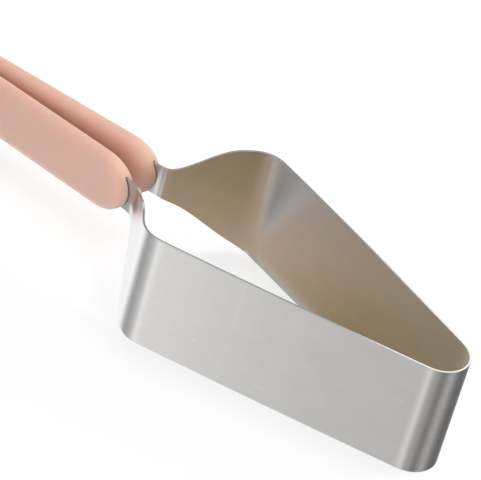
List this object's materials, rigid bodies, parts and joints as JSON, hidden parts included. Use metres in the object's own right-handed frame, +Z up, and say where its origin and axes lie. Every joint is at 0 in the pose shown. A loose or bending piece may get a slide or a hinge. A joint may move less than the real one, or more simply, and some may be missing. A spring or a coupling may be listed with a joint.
{
  "type": "adjustable cake cutter",
  "caption": "Open wedge of springy steel strip with two plastic handles. Squeezing or spreading the handles sets the width of the cake slice it cuts, grips and serves.",
  "frame": {"origin": "middle of the overall length and width, on the plane of the lower rim that it stands on", "axes": "+X from the handles to the nose of the wedge, +Z up from the lower rim, +Y to the left of the hand that holds it"},
  "size_m": [0.2506, 0.077, 0.05],
  "materials": {
    "strip": "satin brushed stainless steel",
    "handle": "smooth satin moulded plastic, soft peach pink"
  },
  "bodies": {
    "nose": {"nose_bend": "strip"},
    "left_arm": {"left_blade": "strip", "left_handle": "handle"},
    "right_arm": {"right_blade": "strip", "right_handle": "handle"}
  },
  "joints": [
    {"name": "left_flex", "type": "hinge", "parent": "nose", "child": "left_arm", "pos_m": [0.12251, 0.00674, 0.025], "axis": [0, 0, -1], "range_deg": [0, 8], "stiffness_Nm_per_rad": 10},
    {"name": "right_flex", "type": "hinge", "parent": "nose", "child": "right_arm", "pos_m": [0.12251, -0.00674, 0.025], "axis": [0, 0, 1], "range_deg": [0, 8], "stiffness_Nm_per_rad": 10}
  ],
  "couplings": [
    {"joint": "right_flex", "follows": "left_flex", "ratio": 1}
  ]
}
